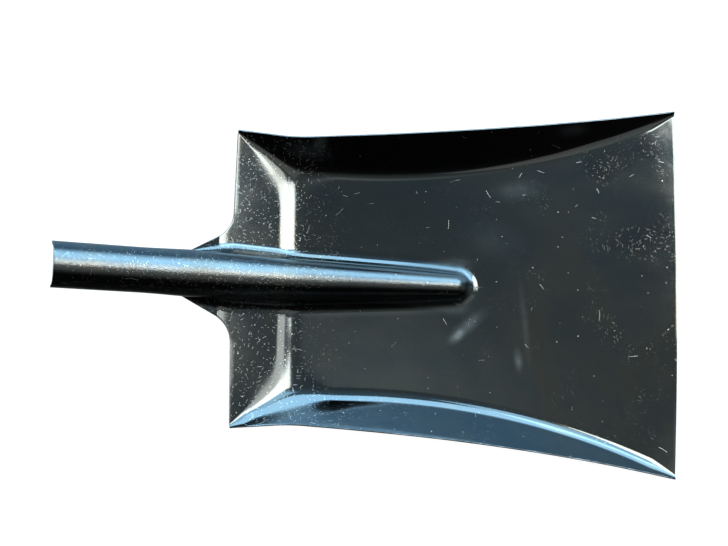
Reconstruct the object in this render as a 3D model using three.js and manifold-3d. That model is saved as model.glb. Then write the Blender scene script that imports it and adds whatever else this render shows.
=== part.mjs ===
// Grain scoop head. One sheet of steel is pressed into a dish with a tapering rib, and its tail is rolled
// round into a socket for a wooden handle. Stitch welds hold the socket's seam closed underneath.
// Millimetres, +Z up, +X towards the lip. The head lies on its floor, with the open side of the dish up.
// Inside this file X is measured from the dish's rear edge; the last lines move the origin to the middle.
import * as THREE from "three";
import { mergeVertices } from "three/addons/utils/BufferGeometryUtils.js";
import Module from "manifold-3d";

const RADIANS = Math.PI / 180;

// The sheet
const SHEET = 1.5;

// The dish, in plan
const DISH_LENGTH = 410; // rear edge to the lip's corners
const REAR_HALF_WIDTH = 133;
const LIP_HALF_WIDTH = 172.5;
const EDGE_SHARE = 0.707; // how far out the wall's edge lies, from its fold to the line between these widths
const LIP_BOW = 2.8; // how far the middle of the lip stands ahead of its corners
const LIP_BOW_START = 250;
const REAR_BOW = 1.5; // how far the rear edge draws back beside the neck
const CORNER_CUT = 1.2;

// The dish's side walls fold up along a line that runs straight, then along one arc to the lip's corner
const FOLD_HALF_WIDTH = 101;
const FOLD_ARC_START = 108;
const FOLD_LIP_HALF_WIDTH = 169.5;
const WALL_ANGLE = 41 * RADIANS;
const WALL_FILLET = 20;
const WALL_FILLET_SHARE = 0.7; // at most this much of a low wall is fillet

// The rear of the dish slopes up to the rear edge
const REAR_BEND = 51.5;
const REAR_SLOPE = 25.5 * RADIANS;
const REAR_BEND_RADIUS = 65;

// The socket and the rib that carries it forward into the dish
const SOCKET_RADIUS = 19.1; // outside, where the seam is closed
const NECK_TUBE_RADIUS = 20.1; // outside, where the sheet's edge passes behind the socket
const SOCKET_LIFT = 20.5 * RADIANS;
const SOCKET_MOUTH = -156.8; // the underside of the mouth
const CREST_LINE_AT_REAR_EDGE = 58; // the socket's crest, run on straight to the rear edge
const CREST_BLEND = 3;
const RIB_RADIUS_AT_REAR_EDGE = 18.8;
const NOSE = 200; // where the rib's round end begins
const NOSE_RADIUS = 10.5;
const NOSE_HEIGHT = 13.8;
const NOSE_STRETCH = 1.2; // how much longer than a half circle the round end is
const RIB_SLOPE = 9.5 * RADIANS;
const RIB_FILLET = 12.5; // at the rib's foot, in the dish
const DRAFT_AT_REAR_EDGE = 88 * RADIANS;
const DRAFT_AT_NOSE = 82 * RADIANS;

// The neck's outline, and the seam under the socket
const NECK_RADIUS = 26;
const NECK_ANGLE = 28 * RADIANS;
const NECK_HALF_WIDTH = 57.5; // where the neck's arc meets the rear edge
const NECK_WRAP = -44; // here the sheet's edge passes round behind the socket
const WRAP_FILLET = 6; // at the rib's foot, from there to the mouth
const SEAM_START = -88; // from here to the mouth the seam is closed
const SEAM_GAP = 1.5;
const LIFT_FULL = -60; // from here to the mouth the socket is straight

// How fast the section changes on its way, as powers of the way gone: above 1 it starts slowly
const TURN_EASE = 1.5;
const CLOSING_EASE = 1.3;
const CLOSING_STEPS = 40; // halvings in the search for the arc that closes the socket

// The mouth: its front stands a little proud, and the seam's two corners are rounded away
const MOUTH_BLEND = 40;
const MOUTH_PROUD = 2.2;
const MOUTH_NOTCH = 13;
const MOUTH_NOTCH_START = 80 * RADIANS;
const MOUTH_NOTCH_EASE = 1.3;

// The hole for the handle's cross screw
const SCREW_HOLE_RADIUS = 2.5;
const SCREW_HOLE_FROM_MOUTH = 20;
const DRILL_LENGTH = 60;
const DRILL_SIDES = 20;

// The stitch welds, by the distance of each one's middle from the mouth
const WELD_FROM_MOUTH = [27, 46, 64];
const WELD_LENGTH = 13;
const WELD_WIDTH = 5;
const WELD_HEIGHT = 1.3;
const WELD_GAP = 0.3;

// Columns of the sheet's grid from the crest outwards, and how many each stretch has
const TUBE_COLUMNS = 8;
const FILLET_COLUMNS = 3;
const WING_COLUMNS = 3;
const FLOOR_COLUMNS = 2;
const FOLD_COLUMNS = 3;
const WALL_COLUMNS = 2;
const RIB_COLUMNS = TUBE_COLUMNS + FILLET_COLUMNS; // out to the foot of the rib

const lerp = THREE.MathUtils.lerp;
const clamp01 = (t) => THREE.MathUtils.clamp(t, 0, 1);
const smooth = (t) => THREE.MathUtils.smoothstep(t, 0, 1);

// Height of the dish's floor above its flat part, x mm ahead of the rear edge.
function floorRise(x) {
  const tangent = REAR_BEND_RADIUS * Math.tan(REAR_SLOPE / 2);
  const flatFrom = REAR_BEND + tangent;
  const slopeTo = REAR_BEND - tangent * Math.cos(REAR_SLOPE);
  if (x >= flatFrom) return 0;
  if (x < slopeTo) return (REAR_BEND - x) * Math.tan(REAR_SLOPE);
  return REAR_BEND_RADIUS - Math.sqrt(REAR_BEND_RADIUS ** 2 - (flatFrom - x) ** 2);
}

// Height of the crest of the socket and rib: two straight slopes with a soft bend between them.
function crestHeight(x) {
  const socketLine = CREST_LINE_AT_REAR_EDGE - (x + REAR_BOW) * Math.tan(SOCKET_LIFT);
  const ribLine = NOSE_HEIGHT + (NOSE - x) * Math.tan(RIB_SLOPE);
  const half = (socketLine - ribLine) / 2;
  return (socketLine + ribLine) / 2 + Math.hypot(half, CREST_BLEND);
}

// The distance from the centre line to the fold at the foot of the side wall.
function foldHalfWidth(x) {
  if (x <= FOLD_ARC_START) return FOLD_HALF_WIDTH;
  const run = DISH_LENGTH - FOLD_ARC_START;
  const spread = FOLD_LIP_HALF_WIDTH - FOLD_HALF_WIDTH;
  const radius = (run ** 2 + spread ** 2) / (2 * spread);
  return FOLD_HALF_WIDTH + radius - Math.sqrt(radius ** 2 - (x - FOLD_ARC_START) ** 2);
}

// The neck's outline: its distance from the centre line, x mm ahead of the rear edge (x is negative).
function neckHalfWidth(x) {
  const arcCentre = -REAR_BOW - NECK_RADIUS;
  const arcFrom = arcCentre + NECK_RADIUS * Math.sin(NECK_ANGLE);
  const onArc = (at) => NECK_HALF_WIDTH - Math.sqrt(NECK_RADIUS ** 2 - (at - arcCentre) ** 2);
  if (x >= arcFrom) return onArc(Math.min(x, -REAR_BOW));
  return onArc(arcFrom) - (arcFrom - x) * Math.tan(NECK_ANGLE);
}

// One side of a rib or socket section, from the crest outwards: an arc, a straight flank, a fillet that
// turns back out, and a straight wing. Each stretch has a length and a bend, and bends down where positive.
function ribSection({ radius, turn, flank, fillet, back, wing }) {
  return [
    { length: radius * turn, bend: 1 / radius },
    { length: flank, bend: 0 },
    { length: fillet * back, bend: -1 / fillet },
    { length: wing, bend: 0 },
  ];
}

// The point at a length along a section: how far out it is, and how far below the crest.
function sectionPoint(section, length) {
  let heading = 0;
  let out = 0;
  let down = 0;
  for (const stretch of section) {
    const step = Math.min(length, stretch.length);
    const turned = heading + step * stretch.bend;
    if (stretch.bend === 0) {
      out += step * Math.cos(heading);
      down += step * Math.sin(heading);
    } else {
      out += (Math.sin(turned) - Math.sin(heading)) / stretch.bend;
      down += (Math.cos(heading) - Math.cos(turned)) / stretch.bend;
    }
    heading = turned;
    length -= step;
  }
  return [out, down];
}

// The flank that brings a section's wing out level at a depth below the crest. The radii are the arc's and
// the fillet's together.
function flankFor(radii, turn, depth) {
  return Math.max(0, (depth - radii * (1 - Math.cos(turn))) / Math.sin(turn));
}

// The columns' places along a section. The tube and the foot beside it each have their own columns. At
// footEvenness 0 the foot's fillet and wing have theirs too, and at 1 they share them. At evenness 1 all
// the columns are evenly spaced.
function columnLengths(section, footEvenness, evenness) {
  const [arc, flank, fillet, wing] = section.map(({ length }) => length);
  const tube = arc + flank;
  const foot = fillet + wing;
  const footColumns = FILLET_COLUMNS + WING_COLUMNS;
  const places = [0];
  for (let k = 1; k <= TUBE_COLUMNS; k++) places.push((tube * k) / TUBE_COLUMNS);
  for (let k = 1; k <= footColumns; k++) {
    const onWing = Math.max(0, k - FILLET_COLUMNS);
    const onFillet = k - onWing;
    const byStretch = (fillet * onFillet) / FILLET_COLUMNS + (wing * onWing) / WING_COLUMNS;
    places.push(tube + lerp(byStretch, (foot * k) / footColumns, footEvenness));
  }
  const last = places.length - 1;
  return places.map((place, k) => lerp(place, ((tube + foot) * k) / last, evenness));
}

const WRAP_HALF_WIDTH = neckHalfWidth(NECK_WRAP);
const WRAP_TURN = Math.acos((WRAP_FILLET - NECK_TUBE_RADIUS) / (WRAP_FILLET + NECK_TUBE_RADIUS));

// How far the arc has to turn for the sheet's edge to lie at a distance from the centre line.
function closingTurn(radius, back, edge) {
  let open = Math.PI / 2;
  let closed = Math.PI;
  for (let step = 0; step < CLOSING_STEPS; step++) {
    const turn = (open + closed) / 2;
    const out = (radius + WRAP_FILLET) * Math.sin(turn) - WRAP_FILLET * Math.sin(turn - back);
    if (out > edge) open = turn;
    else closed = turn;
  }
  return open;
}

// One side of the sheet across the tail, at the station where the section's underside is at x.
function tailRow(x) {
  const toWrap = clamp01((x + REAR_BOW) / (NECK_WRAP + REAR_BOW));
  const toSeam = clamp01((x - NECK_WRAP) / (SEAM_START - NECK_WRAP));
  const neckRadius = lerp(RIB_RADIUS_AT_REAR_EDGE, NECK_TUBE_RADIUS, smooth(toWrap));
  const radius = lerp(neckRadius, SOCKET_RADIUS, smooth(toSeam));
  const fillet = lerp(RIB_FILLET, WRAP_FILLET, toWrap);
  let turn = lerp(DRAFT_AT_REAR_EDGE, WRAP_TURN, toWrap ** TURN_EASE);
  const onSlope = flankFor(radius + fillet, turn, crestHeight(x) - floorRise(x));
  const flank = onSlope * (1 - smooth(toWrap));
  const filletEnd = (radius + fillet) * Math.sin(turn) + flank * Math.cos(turn);
  const edge = neckHalfWidth(Math.max(x, NECK_WRAP));
  const wing = Math.max(0, edge - filletEnd);
  let back = turn - Math.asin(clamp01((filletEnd - edge) / fillet)); // cut short by the sheet's edge
  if (toSeam > 0) {
    const opened = (1 - toSeam) ** CLOSING_EASE;
    back *= (1 - toSeam) ** TURN_EASE;
    turn = closingTurn(radius, back, lerp(SEAM_GAP / 2, WRAP_HALF_WIDTH, opened));
  }
  const section = ribSection({ radius, turn, flank, fillet, back, wing });

  const lift = SOCKET_LIFT * smooth((x + REAR_BOW) / (LIFT_FULL + REAR_BOW));
  const wingDepth = (radius + fillet) * (1 - Math.cos(turn)) + flank * Math.sin(turn);
  const crestX = x + lerp(wingDepth, 2 * radius, smooth(toSeam)) * Math.sin(lift);
  const crest = new THREE.Vector3(crestX, 0, crestHeight(crestX));
  const down = new THREE.Vector3(-Math.sin(lift), 0, -Math.cos(lift));
  const towardsMouth = new THREE.Vector3(-Math.cos(lift), 0, Math.sin(lift));
  const nearMouth = smooth(1 - (x - SOCKET_MOUTH) / MOUTH_BLEND) ** 2;
  return columnLengths(section, toWrap, smooth(toSeam)).map((length) => {
    const [out, depth] = sectionPoint(section, length);
    const angle = length / radius;
    const proud = MOUTH_PROUD * Math.max(0, Math.cos(angle)) ** 2;
    const notch = clamp01((angle - MOUTH_NOTCH_START) / (Math.PI - MOUTH_NOTCH_START));
    const along = nearMouth * (proud - MOUTH_NOTCH * notch ** MOUTH_NOTCH_EASE);
    const point = crest.clone().addScaledVector(down, depth).addScaledVector(towardsMouth, along);
    return point.setY(out);
  });
}

// One side of the rib across the dish and the floor beside it, x mm ahead of the rear edge.
function ribRow(x) {
  const along = clamp01(x / NOSE);
  const station = x === 0 ? -REAR_BOW : x; // the rear edge is drawn back here
  const rise = floorRise(station);
  const radius = lerp(RIB_RADIUS_AT_REAR_EDGE, NOSE_RADIUS, along);
  const radii = radius + RIB_FILLET;
  const ribHeight = crestHeight(station) - rise;
  const draft = lerp(DRAFT_AT_REAR_EDGE, DRAFT_AT_NOSE, along);
  const turn = Math.min(draft, Math.acos(Math.max(-1, 1 - ribHeight / radii)));
  const flank = flankFor(radii, turn, ribHeight);
  const wing = NECK_HALF_WIDTH - radii * Math.sin(turn) - flank * Math.cos(turn);
  const section = ribSection({ radius, turn, flank, fillet: RIB_FILLET, back: turn, wing });
  return columnLengths(section, 0, 0).map((length) => {
    const [out, depth] = sectionPoint(section, length);
    return new THREE.Vector3(station, out, rise + ribHeight - depth);
  });
}

// One side of a ring round the rib's nose. Each ring takes its height and its distance from the nose's
// centre from one column of the row where the nose begins. Outside the rib the ring runs out straight.
function noseRow(start, ring) {
  const reach = start[ring].y;
  const roundPoint = (y) => {
    const scale = Math.max(y, reach) / Math.hypot(y, reach);
    return new THREE.Vector3(NOSE + reach * scale * NOSE_STRETCH, y * scale, 0);
  };
  const footY = start[RIB_COLUMNS].y;
  const foot = roundPoint(footY);
  const outer = new THREE.Vector3(NOSE + reach * NOSE_STRETCH, NECK_HALF_WIDTH, 0);
  return start.map(({ y }, column) => {
    if (column > RIB_COLUMNS) return foot.clone().lerp(outer, (y - footY) / (NECK_HALF_WIDTH - footY));
    const point = roundPoint(y);
    const fall = ((point.x - NOSE) * Math.tan(RIB_SLOPE)) / start[0].z;
    return point.setZ(start[Math.max(column, ring)].z * (1 - fall));
  });
}

// One side of the sheet across the dish: the given rib and floor, then the outer floor and the side wall.
function dishRow(x, inner) {
  const rise = floorRise(x);
  const valley = foldHalfWidth(x) + rise / Math.tan(WALL_ANGLE);
  const outline = lerp(REAR_HALF_WIDTH, LIP_HALF_WIDTH, x / DISH_LENGTH);
  const edge = lerp(foldHalfWidth(x) + rise, outline, EDGE_SHARE);
  const wallLength = (edge - valley) / Math.cos(WALL_ANGLE);
  const tangent = Math.min(WALL_FILLET * Math.tan(WALL_ANGLE / 2), WALL_FILLET_SHARE * wallLength);
  const filletRadius = tangent / Math.tan(WALL_ANGLE / 2);
  const foldFrom = valley - tangent;
  const row = [...inner];
  for (let k = 1; k <= FLOOR_COLUMNS; k++)
    row.push(new THREE.Vector3(x, lerp(NECK_HALF_WIDTH, foldFrom, k / FLOOR_COLUMNS), rise));
  for (let k = 1; k <= FOLD_COLUMNS; k++) {
    const angle = (WALL_ANGLE * k) / FOLD_COLUMNS;
    const y = foldFrom + filletRadius * Math.sin(angle);
    row.push(new THREE.Vector3(x, y, rise + filletRadius * (1 - Math.cos(angle))));
  }
  for (let k = 1; k <= WALL_COLUMNS; k++) {
    const up = lerp(tangent, wallLength, k / WALL_COLUMNS);
    const y = valley + up * Math.cos(WALL_ANGLE);
    row.push(new THREE.Vector3(x, y, rise + up * Math.sin(WALL_ANGLE)));
  }
  const lip = Math.max(0, (x - LIP_BOW_START) / (DISH_LENGTH - LIP_BOW_START)) ** 2;
  for (const point of row) point.x += LIP_BOW * lip * (1 - (point.y / LIP_HALF_WIDTH) ** 2);
  if (x === 0) {
    // The rear edge draws back beside the neck, and goes on up the slope as it does.
    for (const point of row.slice(inner.length)) {
      const back = REAR_BOW * clamp01((REAR_HALF_WIDTH - point.y) / (REAR_HALF_WIDTH - NECK_HALF_WIDTH));
      point.x -= back;
      point.z += back * Math.tan(REAR_SLOPE);
    }
  }
  const corner = row[row.length - 1];
  if (x === 0) corner.x += CORNER_CUT;
  if (x === DISH_LENGTH) corner.x -= CORNER_CUT;
  return row;
}

// The tail's rows, from the mouth of the socket to the rear edge.
function tailRows() {
  const socket = [SOCKET_MOUTH, -150, -143, -135, -125, -112, -100];
  const closing = [SEAM_START, -81, -74, -67, -60, -53, -48];
  const neck = [NECK_WRAP, -38, -32, -26, -20];
  const arc = [60, 45, 30, 15].map((angle) => -REAR_BOW - NECK_RADIUS * (1 - Math.cos(angle * RADIANS)));
  return [...socket, ...closing, ...neck, ...arc].map(tailRow);
}

// The dish's rows, from the rear edge to the lip.
function dishRows() {
  const start = ribRow(NOSE);
  const alongRib = [0, 8, 18, 28, 36, 43, 50, 57, 64, 80, 105, 130, 155, 180, NOSE];
  const ahead = [236, 262, 295, 328, 360, 388, DISH_LENGTH];
  const rows = alongRib.map((x) => dishRow(x, ribRow(x)));
  for (let ring = 1; ring <= RIB_COLUMNS; ring++)
    rows.push(dishRow(NOSE + start[ring].y * NOSE_STRETCH, noseRow(start, ring)));
  for (const x of ahead) rows.push(dishRow(x, start.map(({ y }) => new THREE.Vector3(x, y, 0))));
  return rows;
}

// The sheet as one closed body: its upper face, the same face set down by the sheet's thickness, and the
// cut edge between them.
function sheetGeometry() {
  const rows = [...tailRows(), ...dishRows()].map((half) => {
    const mirrored = half.slice(1).map((p) => p.clone().setY(-p.y));
    return [...mirrored.reverse(), ...half];
  });
  const centre = rows.map((row) => (row.length - 1) / 2);
  const first = [];
  let count = 0;
  for (const row of rows) {
    first.push(count);
    count += row.length;
  }
  const vertex = (row, column) => first[row] + centre[row] + column;
  const top = [];
  for (let row = 0; row + 1 < rows.length; row++) {
    const reach = Math.min(centre[row], centre[row + 1]);
    for (let column = -reach; column < reach; column++) {
      const [a, b] = [vertex(row, column), vertex(row + 1, column)];
      const [c, d] = [vertex(row + 1, column + 1), vertex(row, column + 1)];
      if (column < 0) top.push([a, b, d], [b, c, d]);
      else top.push([a, b, c], [a, c, d]);
    }
  }
  const upper = rows.flat();
  const normals = upper.map(() => new THREE.Vector3());
  for (const [a, b, c] of top) {
    const ab = upper[b].clone().sub(upper[a]);
    const normal = ab.cross(upper[c].clone().sub(upper[a]));
    for (const corner of [a, b, c]) normals[corner].add(normal);
  }
  const lower = upper.map((point, k) => point.clone().addScaledVector(normals[k].normalize(), -SHEET));
  const triangles = top.flatMap(([a, b, c]) => [
    [a, b, c],
    [a + count, c + count, b + count],
  ]);
  const inner = new Set(top.flatMap(([a, b, c]) => [`${a} ${b}`, `${b} ${c}`, `${c} ${a}`]));
  for (const edge of inner) {
    const [a, b] = edge.split(" ").map(Number);
    if (inner.has(`${b} ${a}`)) continue;
    triangles.push([b, a, a + count], [b, a + count, b + count]);
  }
  const geometry = new THREE.BufferGeometry().setFromPoints([...upper, ...lower]);
  geometry.setIndex(triangles.flat());
  return geometry.translate(0, 0, SHEET);
}

const wasm = await Module();
wasm.setup();

function solidOf(geometry) {
  const bare = geometry.clone();
  bare.deleteAttribute("normal");
  bare.deleteAttribute("uv");
  const merged = mergeVertices(bare, 1e-4);
  const vertProperties = merged.attributes.position.array;
  const triVerts = new Uint32Array(merged.index.array);
  return new wasm.Manifold(new wasm.Mesh({ numProp: 3, vertProperties, triVerts }));
}

function geometryOf(solid) {
  const mesh = solid.getMesh();
  const geometry = new THREE.BufferGeometry();
  geometry.setAttribute("position", new THREE.BufferAttribute(mesh.vertProperties, 3));
  geometry.setIndex(new THREE.BufferAttribute(mesh.triVerts, 1));
  return geometry;
}

// A point on the socket's axis, and the frame there: X towards the mouth, Y across, Z away from the seam.
function socketFrame(fromMouth) {
  const crestX = SOCKET_MOUTH + 2 * SOCKET_RADIUS * Math.sin(SOCKET_LIFT);
  const towardsMouth = new THREE.Vector3(-Math.cos(SOCKET_LIFT), 0, Math.sin(SOCKET_LIFT));
  const up = new THREE.Vector3(Math.sin(SOCKET_LIFT), 0, Math.cos(SOCKET_LIFT));
  const across = new THREE.Vector3().crossVectors(up, towardsMouth);
  const point = new THREE.Vector3(crestX, 0, crestHeight(crestX) + SHEET)
    .addScaledVector(up, -SOCKET_RADIUS)
    .addScaledVector(towardsMouth, -fromMouth);
  return new THREE.Matrix4().makeBasis(towardsMouth, across, up).setPosition(point);
}

function pressing() {
  const drill = new THREE.CylinderGeometry(SCREW_HOLE_RADIUS, SCREW_HOLE_RADIUS, DRILL_LENGTH, DRILL_SIDES);
  drill.applyMatrix4(socketFrame(SCREW_HOLE_FROM_MOUTH));
  return geometryOf(solidOf(sheetGeometry()).subtract(solidOf(drill)));
}

// A stitch weld lies in the socket's frame: a low bead outside the seam, with a root between the edges.
function weldGeometry() {
  const reach = SOCKET_RADIUS + WELD_GAP;
  const half = Math.asin(WELD_WIDTH / 2 / reach);
  const root = SEAM_GAP / 2 - WELD_GAP;
  const crown = -SOCKET_RADIUS - WELD_HEIGHT;
  const toe = -reach * Math.cos(half);
  const rootTop = -SOCKET_RADIUS + SHEET;
  const rootFoot = -Math.sqrt(reach ** 2 - root ** 2);
  const outline = new THREE.Shape();
  outline.moveTo(-WELD_WIDTH / 2, toe);
  outline.quadraticCurveTo(0, 2 * crown - toe, WELD_WIDTH / 2, toe);
  outline.lineTo(root, rootFoot);
  outline.lineTo(root, rootTop);
  outline.lineTo(-root, rootTop);
  outline.lineTo(-root, rootFoot);
  outline.closePath();
  const bead = new THREE.ExtrudeGeometry(outline, {
    depth: WELD_LENGTH,
    steps: 1,
    bevelEnabled: false,
    curveSegments: 6,
  });
  bead.translate(0, 0, -WELD_LENGTH / 2);
  // The extrusion runs along Z; turn it to run along the socket, with the outline's X across the seam.
  return bead.applyMatrix4(new THREE.Matrix4().makeBasis(
    new THREE.Vector3(0, 1, 0),
    new THREE.Vector3(0, 0, 1),
    new THREE.Vector3(1, 0, 0),
  ));
}

const lacqueredSteel = new THREE.MeshStandardMaterial({ color: 0x2b3133, roughness: 0.22, metalness: 0.8 });
const weldMetal = new THREE.MeshStandardMaterial({ color: 0x3a3a38, roughness: 0.5, metalness: 0.8 });

const head = new THREE.Group();

const sheet = new THREE.Mesh(pressing(), lacqueredSteel);
sheet.name = "scoop_pressing";
head.add(sheet);

const weld = weldGeometry();
WELD_FROM_MOUTH.forEach((fromMouth, index) => {
  const bead = new THREE.Mesh(weld, weldMetal);
  bead.name = `seam_weld_${index + 1}`;
  bead.applyMatrix4(socketFrame(fromMouth));
  head.add(bead);
});

// The origin: under the middle of the object's length, on the surface it lies on.
sheet.geometry.computeBoundingBox();
const { min, max } = sheet.geometry.boundingBox;
head.position.set(-(min.x + max.x) / 2, 0, -min.z);

export default head;
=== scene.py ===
import math

import bmesh
import bpy
from mathutils import Matrix, Vector, noise


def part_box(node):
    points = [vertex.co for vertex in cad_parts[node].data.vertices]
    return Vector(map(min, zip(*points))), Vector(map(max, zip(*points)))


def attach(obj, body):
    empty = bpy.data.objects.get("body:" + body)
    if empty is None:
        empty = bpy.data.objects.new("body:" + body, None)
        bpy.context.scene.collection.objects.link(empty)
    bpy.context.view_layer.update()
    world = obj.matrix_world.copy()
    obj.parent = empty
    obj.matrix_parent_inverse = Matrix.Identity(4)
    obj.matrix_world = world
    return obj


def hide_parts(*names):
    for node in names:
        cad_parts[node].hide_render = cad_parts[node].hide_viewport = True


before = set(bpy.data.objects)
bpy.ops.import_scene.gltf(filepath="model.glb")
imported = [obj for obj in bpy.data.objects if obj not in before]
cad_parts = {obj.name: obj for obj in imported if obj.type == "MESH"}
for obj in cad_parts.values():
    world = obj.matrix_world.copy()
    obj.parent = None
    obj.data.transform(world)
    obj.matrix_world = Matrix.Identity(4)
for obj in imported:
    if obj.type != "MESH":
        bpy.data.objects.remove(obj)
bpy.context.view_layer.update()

MM = 0.001
SHEET_LOW, SHEET_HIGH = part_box("scoop_pressing")

# ---------------------------------------------------------------------------------------------------------
# The pressing's driving sizes, in millimetres and radians, as the CAD part has them. X is measured here from
# the dish's rear edge, towards the lip.
SHEET = 1.5
DISH_LENGTH = 410
REAR_HALF_WIDTH = 133
LIP_HALF_WIDTH = 172.5
EDGE_SHARE = 0.707
LIP_BOW = 2.8
LIP_BOW_START = 250
REAR_BOW = 1.5
CORNER_CUT = 1.2
FOLD_HALF_WIDTH = 101
FOLD_ARC_START = 108
FOLD_LIP_HALF_WIDTH = 169.5
WALL_ANGLE = math.radians(41)
WALL_FILLET = 20
WALL_FILLET_SHARE = 0.7
REAR_BEND = 51.5
REAR_SLOPE = math.radians(25.5)
REAR_BEND_RADIUS = 65
SOCKET_RADIUS = 19.1
NECK_TUBE_RADIUS = 20.1
SOCKET_LIFT = math.radians(20.5)
SOCKET_MOUTH = -156.8
CREST_LINE_AT_REAR_EDGE = 58
CREST_BLEND = 3
RIB_RADIUS_AT_REAR_EDGE = 18.8
NOSE = 200
NOSE_RADIUS = 10.5
NOSE_HEIGHT = 13.8
NOSE_STRETCH = 1.2
RIB_SLOPE = math.radians(9.5)
RIB_FILLET = 12.5
DRAFT_AT_REAR_EDGE = math.radians(88)
DRAFT_AT_NOSE = math.radians(82)
NECK_RADIUS = 26
NECK_ANGLE = math.radians(28)
NECK_HALF_WIDTH = 57.5
NECK_WRAP = -44
WRAP_FILLET = 6
SEAM_START = -88
SEAM_GAP = 1.5
LIFT_FULL = -60
TURN_EASE = 1.5
CLOSING_EASE = 1.3
CLOSING_STEPS = 40
MOUTH_BLEND = 40
MOUTH_PROUD = 2.2
MOUTH_NOTCH = 13
MOUTH_NOTCH_START = math.radians(80)
MOUTH_NOTCH_EASE = 1.3
SCREW_HOLE_RADIUS = 2.5
SCREW_HOLE_FROM_MOUTH = 20
WELD_FROM_MOUTH = (27, 46, 64)
WELD_LENGTH = 13
WELD_WIDTH = 5
WELD_HEIGHT = 1.3

# The fine grid: columns from the crest outwards, and the rows' spacing.
TUBE_COLUMNS = 26
FILLET_COLUMNS = 8
WING_COLUMNS = 8
FLOOR_COLUMNS = 8
FOLD_COLUMNS = 12
WALL_COLUMNS = 8
RIB_COLUMNS = TUBE_COLUMNS + FILLET_COLUMNS

# Where the rows lie along X, as stretches of (end, spacing). Round the rib's nose they follow its columns.
TAIL_STRETCHES = ((SOCKET_MOUTH, 0), (SEAM_START, 2.0), (NECK_WRAP, 1.6), (-20, 1.6))
RIB_STRETCHES = ((0, 0), (36, 3), (66, 1.2), (NOSE, 3.5))
LIP_STRETCHES = ((380, 4), (DISH_LENGTH, 2.5))
NECK_ARC_ANGLES = [math.radians(degrees) for degrees in range(60, 2, -6)]
NECK_ARC_GAP = 1

# Where the model's origin lies in the millimetre frame: the lip's middle is the box's far end.
ORIGIN_X = DISH_LENGTH + LIP_BOW - SHEET_HIGH.x / MM
TOP_FACE_Z = SHEET_LOW.z / MM + SHEET


def lerp(a, b, t):
    return a + (b - a) * t


def clamp01(t):
    return min(1.0, max(0.0, t))


def smooth(t):
    t = clamp01(t)
    return t * t * (3 - 2 * t)


# ---------------------------------------------------------------------------------------------------------
# The sheet's shape


def floor_rise(x):
    """Height of the dish's floor above its flat part."""
    tangent = REAR_BEND_RADIUS * math.tan(REAR_SLOPE / 2)
    flat_from = REAR_BEND + tangent
    slope_to = REAR_BEND - tangent * math.cos(REAR_SLOPE)
    if x >= flat_from:
        return 0.0
    if x < slope_to:
        return (REAR_BEND - x) * math.tan(REAR_SLOPE)
    return REAR_BEND_RADIUS - math.sqrt(REAR_BEND_RADIUS**2 - (flat_from - x) ** 2)


def crest_height(x):
    """Height of the crest of the socket and rib: two straight slopes with a soft bend between them."""
    socket_line = CREST_LINE_AT_REAR_EDGE - (x + REAR_BOW) * math.tan(SOCKET_LIFT)
    rib_line = NOSE_HEIGHT + (NOSE - x) * math.tan(RIB_SLOPE)
    return (socket_line + rib_line) / 2 + math.hypot((socket_line - rib_line) / 2, CREST_BLEND)


def fold_half_width(x):
    """The distance from the centre line to the fold at the foot of the side wall."""
    if x <= FOLD_ARC_START:
        return FOLD_HALF_WIDTH
    run = DISH_LENGTH - FOLD_ARC_START
    spread = FOLD_LIP_HALF_WIDTH - FOLD_HALF_WIDTH
    radius = (run**2 + spread**2) / (2 * spread)
    return FOLD_HALF_WIDTH + radius - math.sqrt(radius**2 - (x - FOLD_ARC_START) ** 2)


def neck_half_width(x):
    """The neck's outline, x mm ahead of the rear edge (x is negative)."""
    arc_centre = -REAR_BOW - NECK_RADIUS
    arc_from = arc_centre + NECK_RADIUS * math.sin(NECK_ANGLE)

    def on_arc(at):
        return NECK_HALF_WIDTH - math.sqrt(max(0.0, NECK_RADIUS**2 - (at - arc_centre) ** 2))

    if x >= arc_from:
        return on_arc(min(x, -REAR_BOW))
    return on_arc(arc_from) - (arc_from - x) * math.tan(NECK_ANGLE)


def rib_section(radius, turn, flank, fillet, back, wing):
    """One side of a section from the crest outwards, as (length, bend): arc, flank, fillet, wing."""
    return [
        (radius * turn, 1 / radius),
        (flank, 0.0),
        (fillet * back, -1 / fillet),
        (wing, 0.0),
    ]


def section_point(section, length):
    """How far out a point along the section is, and how far below the crest."""
    heading = out = down = 0.0
    for stretch, bend in section:
        step = min(length, stretch)
        turned = heading + step * bend
        if bend == 0:
            out += step * math.cos(heading)
            down += step * math.sin(heading)
        else:
            out += (math.sin(turned) - math.sin(heading)) / bend
            down += (math.cos(heading) - math.cos(turned)) / bend
        heading = turned
        length -= step
    return out, down


def flank_for(radii, turn, depth):
    """The flank that brings a section's wing out at a depth; radii is the arc's plus the fillet's."""
    return max(0.0, (depth - radii * (1 - math.cos(turn))) / math.sin(turn))


def column_lengths(section, foot_evenness, evenness):
    """The columns' places along a section, from each stretch having its own columns to all evenly spaced."""
    arc, flank, fillet, wing = (length for length, _ in section)
    tube, foot = arc + flank, fillet + wing
    foot_columns = FILLET_COLUMNS + WING_COLUMNS
    places = [tube * k / TUBE_COLUMNS for k in range(TUBE_COLUMNS + 1)]
    for k in range(1, foot_columns + 1):
        on_wing = max(0, k - FILLET_COLUMNS)
        by_stretch = fillet * (k - on_wing) / FILLET_COLUMNS + wing * on_wing / WING_COLUMNS
        places.append(tube + lerp(by_stretch, foot * k / foot_columns, foot_evenness))
    last = len(places) - 1
    return [lerp(place, (tube + foot) * k / last, evenness) for k, place in enumerate(places)]


WRAP_HALF_WIDTH = neck_half_width(NECK_WRAP)
WRAP_TURN = math.acos((WRAP_FILLET - NECK_TUBE_RADIUS) / (WRAP_FILLET + NECK_TUBE_RADIUS))


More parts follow.
